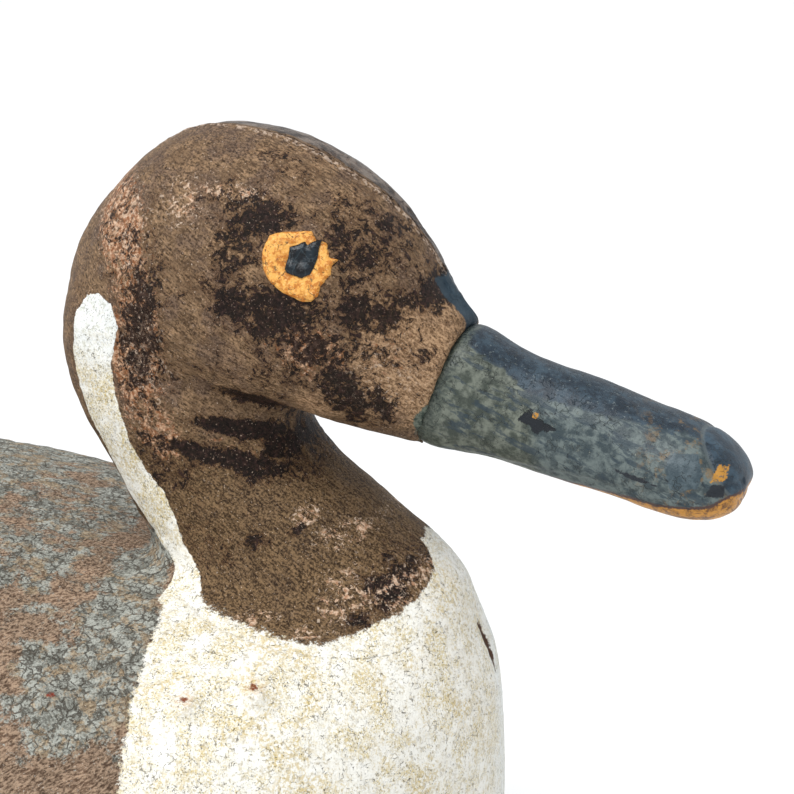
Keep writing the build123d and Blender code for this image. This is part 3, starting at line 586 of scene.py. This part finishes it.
def bill_paint():
    m = Paint("bill_paint_blue")
    fine, mid, flaky = m.noise(0.6, 4.0, 0.65), m.noise(2.4, 4.0, 0.6), m.noise(1.8, 7.0, 0.72, 0.4)
    along = m.streaks(-21, 5.0, 0.5, 4.0, 0.6)
    wob = m.mul(m.sub(flaky, 0.5), 3.0)
    cloud = m.share(mid, flaky, 0.5)
    base = m.tones(cloud, 0.42, 0.58, (0.030, 0.046, 0.052), (0.115, 0.142, 0.138))
    green = m.step(m.add(m.sub(172.5, m.coordinate(0)), m.mul(wob, 1.4)), -2.0, 2.0)
    base = m.mix(green, base, m.tones(cloud, 0.42, 0.60, (0.036, 0.046, 0.036), (0.145, 0.160, 0.130)))
    pale = m.step(m.noise(1.1, 8.0, 0.80), 0.60, 0.64)
    base = m.mix(m.mul(pale, 0.60), base, (0.235, 0.255, 0.225))
    smear = m.step(m.streaks(-23, 7.0, 1.6, 6.0, 0.7), 0.53, 0.60)
    base = m.mix(m.mul(smear, 0.75), base, (0.016, 0.032, 0.046))
    band = m.step(m.add(m.field("band"), m.mul(wob, 0.9)), -0.25, 0.35)
    slate = m.tones(cloud, 0.42, 0.62, (0.006, 0.015, 0.026), (0.030, 0.054, 0.076))
    slate = m.mix(m.mul(m.step(m.noise(0.8, 6.0, 0.8), 0.585, 0.64), 0.7), slate, (0.15, 0.18, 0.185))
    base = m.mix(band, base, slate)
    tint = m.mul(m.step(m.noise(4.0, 6.0, 0.75), 0.53, 0.62), m.step(m.coordinate(0), 188.0, 197.0))
    base = m.mix(m.mul(tint, 0.55), base, (0.20, 0.115, 0.035))
    chips = m.step(m.add(m.field("chips"), m.mul(m.sub(flaky, 0.5), 3.6)), -0.05, 0.12)
    base = m.mix(chips, base, (0.004, 0.007, 0.011))
    patch = m.step(m.add(m.field("patch"), m.mul(wob, 0.5)), -0.1, 0.15)
    base = m.mix(patch, base, m.mix(m.step(flaky, 0.4, 0.62), (0.030, 0.050, 0.062), (0.070, 0.098, 0.112)))
    nail = m.step(m.field("nail"), -0.15, 0.15)
    base = m.mix(nail, base, m.mix(m.step(mid, 0.35, 0.65), (0.008, 0.020, 0.034), (0.036, 0.066, 0.094)))
    groove = m.off(m.step(m.math("ABSOLUTE", m.field("nail")), 0.10, 0.32))
    base = m.mix(m.mul(groove, 0.65), base, (0.085, 0.105, 0.110))
    edge = m.add(m.field("ochre"), m.mul(wob, 0.55))
    base = m.mix(m.step(edge, -0.75, -0.45), base, (0.062, 0.030, 0.024))
    gold = m.mix(m.step(flaky, 0.42, 0.56), (0.155, 0.062, 0.012), (0.50, 0.225, 0.030))
    base = m.mix(m.step(edge, -0.15, 0.10), base, gold)
    spots = m.step(m.add(m.field("spots"), m.mul(m.sub(flaky, 0.5), 2.2)), -0.05, 0.12)
    base = m.mix(m.mul(spots, m.step(flaky, 0.40, 0.48)), base, (0.42, 0.20, 0.030))
    dark = m.step(m.add(m.field("dark"), m.mul(m.sub(fine, 0.5), 1.0)), -0.05, 0.12)
    base = m.mix(dark, base, (0.010, 0.014, 0.020))
    root = m.mul(m.off(m.step(m.field("root"), 0.2, 1.2)), m.step(flaky, 0.3, 0.6))
    base = m.mix(m.mul(root, 0.85), base,
                 m.tones(fine, 0.4, 0.6, (0.022, 0.032, 0.028), (0.085, 0.100, 0.080)))
    black = m.step(m.noise(1.6, 8.0, 0.80, 0.5), 0.600, 0.625)
    base = m.mix(m.mul(black, 0.85), base, (0.005, 0.008, 0.011))
    crackle = m.off(m.step(m.cracks(1.5, m.warp(1.3, 0.8)), 0.01, 0.05))
    crackle = m.mul(crackle, m.step(m.noise(3.0, 5.0, 0.7), 0.52, 0.58))
    base = m.mix(m.mul(crackle, 0.45), base, (0.020, 0.024, 0.024))
    m.bump(m.off(m.most(chips, m.mul(pale, 0.5))), 0.10)
    m.bump(m.off(crackle), 0.10)
    m.bump(m.add(m.mul(along, 0.5), m.mul(fine, 0.4)), 0.18)
    return m.done(base, m.add(0.30, m.mul(mid, 0.26)), level=0.36)


def two_tone(name, dark, light, size, roughness, depth, metallic=0.0, flecks=None, coat=0.0, tilt=None):
    """A weathered finish: two tones in cloudy patches or drawn-out grain, with fine relief."""
    m = Paint(name)
    cloud = m.noise(size, 6.0, 0.66) if tilt is None else m.streaks(tilt, size * 6, size, 5.0, 0.62)
    fine = m.noise(size * 0.22, 4.0, 0.65)
    base = m.mix(m.step(m.add(m.mul(cloud, 0.7), m.mul(fine, 0.3)), 0.36, 0.64), dark, light)
    if flecks:
        base = m.mix(m.mul(m.step(m.noise(size * 0.35, 5.0, 0.72), 0.58, 0.66), 0.8), base, flecks)
    m.bump(cloud, depth)
    m.bump(fine, depth * 0.5)
    return m.done(base, m.add(roughness - 0.1, m.mul(cloud, 0.2)), metallic=metallic, coat=coat)


# ------------------------------------------------------------------ the carving
def carve():
    """Head, neck and hull as one painted surface: returns its mesh."""
    plugs = []
    for nail in NAILS:
        axis = Vector((0, math.copysign(math.sin(NAIL_LEAN), nail[1]), math.cos(NAIL_LEAN)))
        turn = axis.to_track_quat("Z", "Y").to_matrix().to_4x4()
        plugs.append(Matrix.Translation((Vector(nail) - axis * 0.75) * MM) @ turn)
    me = remeshed(("head_left", "head_right", "body_upper", "body_lower", "seam_caulk"),
                  CARVING_VOXEL, plugs)
    p = read(me)
    near_nail = np.zeros(len(p))
    for nail in NAILS:
        d = np.hypot(p[:, 0] - nail[0], p[:, 1] - nail[1])
        near_nail = np.maximum(near_nail, np.where(p[:, 2] > 90, 1 - ease(d, 3.5, 6.5), 0))
    rim = rim_of(p[:, 0], p[:, 1], NECK)
    level = ease(p[:, 2], 100, 106) * (1 - ease(p[:, 2], 128, 134))
    near_joint = (1 - ease(abs(rim - 0.97), 0.12, 0.34)) * level
    p = relax(me, p, np.full(len(p), 0.4), 6)
    p = relax(me, p, np.clip(0.6 * near_nail, 0, 0.6), 6)
    p = relax(me, p, 0.6 * near_joint, 60)
    write(me, p)
    return me


def finer(me, chosen):
    """Halves the faces that `chosen` picks by their middles, in mm."""
    bm = bmesh.new()
    bm.from_mesh(me)
    edges = {e for f in bm.faces if chosen(f.calc_center_median() * 1000) for e in f.edges}
    bmesh.ops.subdivide_edges(bm, edges=list(edges), cuts=1, use_grid_fill=True, smooth=0.0)
    bm.to_mesh(me)
    bm.free()


def relief(me):
    p, n = read(me), read(me, "normal")
    x, y, z = p.T
    f = carving_fields(p)
    head = ease(f["brown"], -1, 1)
    d = 0.22 * rough(p, 14, 2, 1) + 0.10 * rough(p, 3.4, 2, 5) + 0.045 * rough(p, 1.5, 1, 9)
    white = ease(f["white"], -1.5, 1.5) * (1 - head)
    back = (1 - white) * (1 - head)
    slant = np.stack([(0.82 * x + 0.57 * z) / 6.0, y / 4.0, (0.82 * z - 0.57 * x) / 1.6], 1)
    d += back * (0.16 * wave(slant, 1.0, 21) + 0.12 * rough(p, 5, 2, 22))
    streak = np.stack([(0.84 * x - 0.54 * z) / 4.0, y / 2.0, (0.84 * z + 0.54 * x) / 1.1], 1)
    d += head * 0.07 * wave(streak, 1.0, 23)
    flake = f["worn"] + 0.45 * rough(p, 2.2, 3, 31)
    d -= head * 0.14 * ease(flake, 0.55, 0.75)
    ragged = 0.5 * rough(p, 1.6, 2, 33)
    d += 0.16 * ease(f["stripe"] + ragged, -0.3, 0.3) * ease(z, 118, 124)
    d -= 0.16 * (1 - head) * ease(-f["brown"] - ragged, 0.0, 0.6) * 0.5
    split = np.abs(f["crown"])
    d -= 0.55 * (1 - ease(split, 0.2, 0.9)) + 0.22 * ease(f["crown"], 0.3, 1.4) * (f["crown"] < 19)
    d += 0.22 * np.exp(-((f["crown"] + 1.3) / 0.7) ** 2)
    rim = rim_of(x, y, JOINT)
    joint = (1 - ease(abs(rim - JOINT_RIM + 0.01 * wave(p, 4, 41)), 0.006, 0.022))
    d -= 0.40 * joint * ease(x, 106, 110) * (1 - ease(x, 129, 132)) * ease(z, 108, 112) * (z < 124)
    d -= 0.55 * ease(f["chip"] + 0.3 * wave(p, 1.5, 43), -0.1, 0.5)
    dent = np.exp(-(((x - 152.6) / 2.4) ** 2 + ((z - 178) / 2.6) ** 2)) * (y < 0)
    d -= 0.55 * dent
    crease = np.exp(-((z - 154.5 - 0.32 * (124 - x)) / 1.4) ** 2)
    d -= 0.45 * crease * ease(x, 110, 118) * (1 - ease(x, 132, 137)) * (z > 146)
    d -= 0.34 * np.exp(-((z - SEAM_Z) / 0.7) ** 2)
    d -= 0.12 * ease(f["rust"], 0.2, 0.9)
    write(me, within_cad(p + n * d[:, None]))
    for name in ("stripe", "brown", "white", "worn", "bare", "flecks", "tan", "face", "culmen",
                 "crown", "grey", "rust", "chip"):
        store(me, name, f[name])


def part_of(me, keep, lip, planes=()):
    """The faces that `keep` picks, a hidden lip beyond their edge, and a cap that closes it."""
    bm = bmesh.new()
    bm.from_mesh(me)
    for height, upper in planes:
        geom = bm.verts[:] + bm.edges[:] + bm.faces[:]
        bmesh.ops.bisect_plane(bm, geom=geom, plane_co=(0, 0, height * MM), plane_no=(0, 0, 1),
                               clear_inner=upper, clear_outer=not upper)
    ring = {f for f in bm.faces if keep(f.calc_center_median() * 1000)}
    seen = {v: 0 for f in ring for v in f.verts}
    for step in range(1, lip + 1):
        grown = {f for v in seen for f in v.link_faces} - ring
        ring |= grown
        for f in grown:
            for v in f.verts:
                seen.setdefault(v, step)
    bmesh.ops.delete(bm, geom=[f for f in bm.faces if f not in ring], context="FACES")
    bm.normal_update()
    shift = {v: v.normal * (-LIP_DROP * MM * step) for v, step in seen.items() if step}
    for v, move in shift.items():
        v.co += move
    open_edges = [e for e in bm.edges if e.is_boundary]
    bmesh.ops.holes_fill(bm, edges=open_edges, sides=0)
    bmesh.ops.triangulate(bm, faces=[f for f in bm.faces if len(f.verts) > 4])
    loose = [v for v in bm.verts if not v.link_faces]
    bmesh.ops.delete(bm, geom=loose, context="VERTS")
    return bm


def is_head(c):
    return c.z > 126 or (c.z > 100 and rim_of(c.x, c.y, JOINT) < JOINT_RIM)


carving = carve()
finer(carving, lambda c: c.z > 126 or (c.x > 84 and c.y < 24 and c.z > 94))
smooth = read(carving)
write(carving, relax(carving, smooth, np.full(len(smooth), 0.3), 3))
relief(carving)
head_skin = finished("head_skin", part_of(carving, is_head, 3), "decoy", ("head_left", "head_right"),
                     carving_paint("head_paint_brown"))
finished("body_skin", part_of(carving, lambda c: not is_head(c), 3, ((SEAM_Z + SEAM_HALF_GAP, True),)),
         "decoy", ("body_upper",), carving_paint("hull_paint_worn"))
finished("lower_skin", part_of(carving, lambda c: True, 0, ((SEAM_Z - SEAM_HALF_GAP, False),)),
         "decoy", ("body_lower",), carving_paint("bottom_paint_worn"))
bpy.data.meshes.remove(carving)


# ------------------------------------------------------------------ the bill
def bill():
    me = remeshed(("bill",), BILL_VOXEL)
    p = read(me)
    p = relax(me, p, np.full(len(p), 0.35), 5)
    write(me, p)
    n = read(me, "normal")
    x, y, z = p.T
    a = abs(y)
    f = {
        "band": z - np.interp(x, (158, 165, 171, 184, 193, 199, 207, 212),
                              (169.5, 165.2, 161, 158.4, 157, 155.8, 153.0, 151)),
        "chips": inside(x, z, [(169.6, 156.8), (171.6, 158.6), (173.4, 156.9), (177.2, 155.4),
                               (174.2, 154.8), (172.8, 153.8), (171.4, 155.3)]),
        "patch": inside(x, z, [(196.6, 151), (198, 153.4), (202, 153.2), (203.4, 150), (202.6, 147.6),
                               (198, 147.2)]),
        "nail": (x - 201.6 - (155.9 - z) * 0.66) * 0.8,
        "ochre": np.interp(x, (166, 172, 187, 197, 204, 207.5, 210),
                           (146.0, 145.4, 143.9, 143.4, 143.9, 145.6, 146.2)) - z,
        "dark": np.maximum(inside(x, z, [(203.8, 146.4), (205, 148.6), (207.4, 148), (207, 146)]),
                           0.15 + inside(x, z, [(187.5, 149.6), (191, 148.9), (195.6, 147.6),
                                                (191, 148.2)])),
        "spots": np.maximum(inside(x, z, [(204.8, 149), (205.6, 151.6), (207.2, 151), (206.8, 149)]),
                            0.65 - np.hypot(x - 172.6, z - 157.5)),
        "root": x - 158.6 + 0.3 * (170 - z),
    }
    d = 0.10 * rough(p, 7, 2, 51) + 0.05 * rough(p, 2.2, 2, 52)
    d -= 0.40 * np.exp(-(f["nail"] / 0.45) ** 2)
    d -= 0.12 * ease(f["chips"], -0.1, 0.3)
    d += 0.10 * ease(f["patch"], -0.2, 0.3)
    gape = np.interp(x, (160, 187, 200, 208), (147.6, 146.2, 146.2, 148.0))
    d -= 0.25 * np.exp(-((z - gape) / 0.6) ** 2) * (a > 4)
    write(me, within_cad(p + n * d[:, None]))
    for name, values in f.items():
        store(me, name, values)
    bm = bmesh.new()
    bm.from_mesh(me)
    return finished("bill_skin", bm, "decoy", ("bill",), bill_paint())


bill()


# ------------------------------------------------------------------ the eyes
def smooth_loop(points, spacing, jitter, seed):
    out = []
    for (ax, az), (bx, bz) in zip(points, points[1:] + points[:1]):
        n = max(1, round(math.hypot(bx - ax, bz - az) / spacing))
        out += [(ax + (bx - ax) * k / n, az + (bz - az) * k / n) for k in range(n)]
    q = np.array([(u, w, seed) for u, w in out], float)
    shake = np.stack([wave(q, 0.7, seed), wave(q, 0.7, seed + 1)], 1) * jitter
    return [Vector((u + s[0], w + s[1])) for (u, w), s in zip(out, shake)]


def flat_patch(name, outline, side, spacing, height, material, nodes, seed, skin):
    """A thin flake of paint laid on the head at the eye, cut to an outline in side view."""
    centre = (EYE_X, EYE_Z)
    loop = smooth_loop(outline, spacing * 1.2, 0.10, seed)
    lows, highs = np.array(loop).min(0), np.array(loop).max(0)
    grid = [Vector((u + spacing * 0.3 * (k % 2), w))
            for k, w in enumerate(np.arange(lows[1], highs[1], spacing))
            for u in np.arange(lows[0], highs[0], spacing)]
    depth = inside(np.array([g.x for g in grid]), np.array([g.y for g in grid]), [tuple(v) for v in loop])
    grid = [g for g, d in zip(grid, depth) if d > spacing * 0.55]
    n = len(loop)
    verts, _, faces, *_ = delaunay_2d_cdt(loop + grid, [(k, (k + 1) % n) for k in range(n)], [], 1, 1e-6)
    uv = np.array([tuple(v) for v in verts])
    deep = inside(uv[:, 0], uv[:, 1], [tuple(v) for v in loop])
    q = np.stack([uv[:, 0], np.full(len(uv), side * 3.0 + seed), uv[:, 1]], 1)
    top = height(uv, deep, q)
    points, lower = [], []
    for (u, w), h in zip(uv, top):
        start = Vector(((centre[0] + u) * MM, side * 60 * MM, (centre[1] + w) * MM))
        hit, normal, _, _ = skin.ray_cast(start, Vector((0, -side, 0)))
        normal = Vector((EYE_OUT[0], side * EYE_OUT[1], EYE_OUT[2])) * 0.6 + normal * 0.4
        normal.normalize()
        points.append(hit + normal * h * MM)
        lower.append(hit - normal * 0.5 * MM)
    bm = bmesh.new()
    tops = [bm.verts.new(c) for c in points]
    downs = [bm.verts.new(c) for c in lower]
    for face in faces:
        bm.faces.new([tops[i] for i in face])
        bm.faces.new([downs[i] for i in reversed(face)])
    for e in [e for e in bm.edges if e.is_boundary and e.verts[0] in set(tops)]:
        a, b = e.verts
        bm.faces.new((a, b, downs[tops.index(b)], downs[tops.index(a)]))
    bmesh.ops.recalc_face_normals(bm, faces=bm.faces[:])
    return finished(name, bm, "decoy", nodes, material)


def eye_paint():
    m = Paint("eye_ring_orange")
    fine, mid = m.noise(0.35, 4.0, 0.7), m.noise(1.3, 5.0, 0.68)
    base = m.mix(m.step(mid, 0.44, 0.58), (0.80, 0.40, 0.085), (0.50, 0.165, 0.014))
    base = m.mix(m.mul(m.step(fine, 0.55, 0.66), 0.6), base, (0.93, 0.62, 0.27))
    grey = m.step(m.noise(1.5, 5.0, 0.75, 0.6), 0.60, 0.63)
    base = m.mix(m.mul(grey, 0.8), base, (0.16, 0.10, 0.05))
    crack = m.off(m.step(m.cracks(3.0, m.warp(1.6, 0.8)), 0.006, 0.022))
    crack = m.mul(crack, m.step(m.noise(2.0), 0.50, 0.56))
    base = m.mix(m.mul(crack, 0.9), base, (0.10, 0.045, 0.018))
    m.bump(m.off(m.most(grey, crack)), 0.12)
    m.bump(m.add(m.mul(mid, 0.6), m.mul(fine, 0.4)), 0.35)
    return m.done(base, 0.52, level=0.4)


def pupil_paint():
    m = Paint("pupil_black")
    mid = m.noise(1.3, 4.0, 0.6)
    base = m.mix(m.step(mid, 0.40, 0.62), (0.001, 0.0015, 0.003), (0.006, 0.014, 0.021))
    crack = m.off(m.step(m.cracks(2.2, m.warp(1.2, 0.4)), 0.01, 0.03))
    base = m.mix(m.mul(crack, 0.5), base, (0.055, 0.075, 0.085))
    m.bump(mid, 0.25)
    return m.done(base, m.add(0.16, m.mul(mid, 0.25)), level=0.35)


def ring_height(uv, deep, q):
    return 0.10 + 0.36 * ease(deep, 0.0, 0.35) + 0.10 * rough(q, 1.1, 2, 61) * ease(deep, 0, 0.3)


def pupil_height(uv, deep, q):
    facets = 0.34 * np.abs(0.8 * uv[:, 0] + 0.6 * uv[:, 1] - 1.0) - 0.10 * uv[:, 1]
    return 0.55 + 0.55 * ease(deep, 0.0, 0.9) + 0.20 * facets + 0.05 * wave(q, 0.8, 71)


EYE_X, EYE_Z = 131.6, 184.9
EYE_OUT = (0.22, 0.93, 0.28)
tree = BVHTree.FromObject(head_skin, bpy.context.evaluated_depsgraph_get())
orange, black = eye_paint(), pupil_paint()
for side, which in ((-1, "right"), (1, "left")):
    seed = 80 + 5 * side
    flat_patch(f"eye_ring_{which}", EYE_RING, side, 0.33, ring_height, orange, (),
               seed, tree)
    flat_patch(f"pupil_{which}", PUPIL, side, 0.30, pupil_height, black,
               (f"eye_tack_{which}",), seed + 2, tree)

# ------------------------------------------------------------------ finishes of the CAD nodes
FINISHES = {
    "seam_caulk": two_tone("old_caulk", (0.42, 0.38, 0.29), (0.62, 0.58, 0.47), 2.5, 0.8, 0.15),
    "seam_nails": two_tone("rusty_nail", (0.06, 0.022, 0.012), (0.20, 0.075, 0.035), 1.2, 0.8, 0.12),
    "tail_sprig": two_tone("tail_paint_black", (0.020, 0.018, 0.017), (0.060, 0.052, 0.046), 1.4, 0.6,
                           0.22, flecks=(0.26, 0.19, 0.12), tilt=10),
    "keel": two_tone("keel_wood_dark", (0.085, 0.058, 0.038), (0.21, 0.150, 0.100), 1.3, 0.75, 0.30,
                     flecks=(0.30, 0.28, 0.24), tilt=0),
    "ballast_weight": two_tone("old_lead", (0.11, 0.115, 0.12), (0.26, 0.27, 0.275), 3.0, 0.55, 0.20,
                               metallic=0.7, flecks=(0.42, 0.42, 0.41)),
    "line_eye": two_tone("rusty_wire", (0.055, 0.028, 0.018), (0.20, 0.10, 0.055), 1.0, 0.6, 0.10,
                         metallic=0.5),
    "keel_screws": two_tone("dull_screw", (0.10, 0.075, 0.055), (0.26, 0.22, 0.18), 1.0, 0.5, 0.08,
                            metallic=0.8),
    "neck_dowel": two_tone("plain_wood", (0.36, 0.24, 0.13), (0.55, 0.40, 0.24), 1.2, 0.7, 0.12, tilt=90),
}
SHARED = {"line_ring": "line_eye", "ballast_screws": "keel_screws", "neck_screw": "keel_screws",
          "neck_washer": "keel_screws", "bill_pin": "neck_dowel", "tail_peg": "neck_dowel"}
for node, ob in NODES.items():
    finish = FINISHES.get(SHARED.get(node, node))
    if finish:
        ob.data.materials.clear()
        ob.data.materials.append(finish)

# ------------------------------------------------------------------ floor, light and camera
bm = bmesh.new()
bmesh.ops.create_circle(bm, cap_ends=True, radius=9.0, segments=96)
me = bpy.data.meshes.new("floor")
bm.to_mesh(me)
bm.free()
floor = add_object("floor", me)
ground = Paint("floor_white")
cloud = ground.noise(900.0, 2.0)
grey_white = ground.mix(cloud, (0.775, 0.78, 0.785), (0.80, 0.80, 0.80))
me.materials.append(ground.done(grey_white, 0.9, level=0.1))

world = bpy.data.worlds.new("studio")
bpy.context.scene.world = world
world.use_nodes = True
world.node_tree.nodes["Background"].inputs[0].default_value = (0.97, 0.985, 1.0, 1.0)
world.node_tree.nodes["Background"].inputs[1].default_value = 0.80
bpy.context.scene.view_settings.view_transform = "Standard"


def soft_light(name, place, size, power):
    data = bpy.data.lights.new(name, "AREA")
    data.shape, data.size, data.energy = "DISK", size, power
    ob = bpy.data.objects.new(name, data)
    bpy.context.scene.collection.objects.link(ob)
    ob.location = place
    ob.rotation_euler = (Vector((0.12, 0, 0.14)) - Vector(place)).to_track_quat("-Z", "Y").to_euler()


sun = bpy.data.lights.new("sun", "SUN")
sun.energy, sun.angle = 1.9, math.radians(50)
sun_object = bpy.data.objects.new("sun", sun)
bpy.context.scene.collection.objects.link(sun_object)
sun_object.rotation_euler = Vector((-0.25, -0.50, 1.0)).to_track_quat("Z", "Y").to_euler()
soft_light("key", (-0.2, -0.6, 1.2), 0.5, 4.0)

CAMERA_AZIMUTH, CAMERA_ELEVATION, CAMERA_DISTANCE = math.radians(20), math.radians(15), 0.350
target = Vector((0.143, 0.0, 0.156))
back = Vector((math.sin(CAMERA_AZIMUTH) * math.cos(CAMERA_ELEVATION),
               -math.cos(CAMERA_AZIMUTH) * math.cos(CAMERA_ELEVATION), math.sin(CAMERA_ELEVATION)))
lens = bpy.data.cameras.new("camera")
lens.lens, lens.sensor_width, lens.clip_start, lens.clip_end = 84.1, 36.0, 0.01, 60.0
camera = bpy.data.objects.new("camera", lens)
bpy.context.scene.collection.objects.link(camera)
camera.location = target + back * CAMERA_DISTANCE
camera.rotation_euler = (-back).to_track_quat("-Z", "Y").to_euler()
bpy.context.scene.camera = camera
